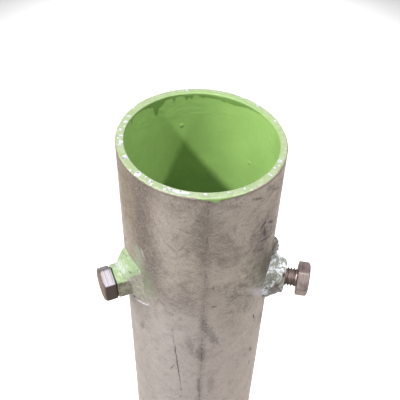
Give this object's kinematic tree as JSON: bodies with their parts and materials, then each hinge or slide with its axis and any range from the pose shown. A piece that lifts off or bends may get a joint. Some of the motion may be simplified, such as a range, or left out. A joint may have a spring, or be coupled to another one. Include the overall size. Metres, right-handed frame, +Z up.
{
  "type": "steel safety bollard",
  "caption": "Open-topped round steel bollard on a square bolt-down base plate, with nuts welded to its sides and hexagon clamp screws that grip a tube slipped into the top.",
  "frame": {"origin": "centre of the base plate's underside, on the ground and on the post's axis", "axes": "+Z up along the post; +X towards the side of the backed-out clamp screw; -Y towards the front, the side both screws lean to"},
  "size_m": [0.2, 0.2, 0.6012],
  "materials": {
    "galvanised_steel": "dull zinc-grey, mottled and finely scratched",
    "weld_metal": "lumpy weld with bright specks and a thin green overspray",
    "screw_steel": "satin, slightly tarnished",
    "green_paint": "hand-brushed semi-gloss enamel, chipped at the rim"
  },
  "bodies": {
    "bollard": {"post_tube": "galvanised_steel", "base_plate": "galvanised_steel", "base_weld": "weld_metal", "left_clamp_nut": "green_paint", "left_nut_weld": "green_paint", "right_clamp_nut": "weld_metal", "right_nut_weld": "weld_metal", "right_tack_weld": "weld_metal"},
    "left_screw": {"left_clamp_screw": "screw_steel"},
    "right_screw": {"right_clamp_screw": "screw_steel"}
  },
  "joints": [
    {"name": "left_screw_travel", "type": "slide", "parent": "bollard", "child": "left_screw", "axis": [-0.9085, -0.4179, 0], "range_m": [0, 0.012]},
    {"name": "right_screw_travel", "type": "slide", "parent": "bollard", "child": "right_screw", "axis": [0.986, -0.1668, 0], "range_m": [-0.00575, 0.00625]}
  ]
}
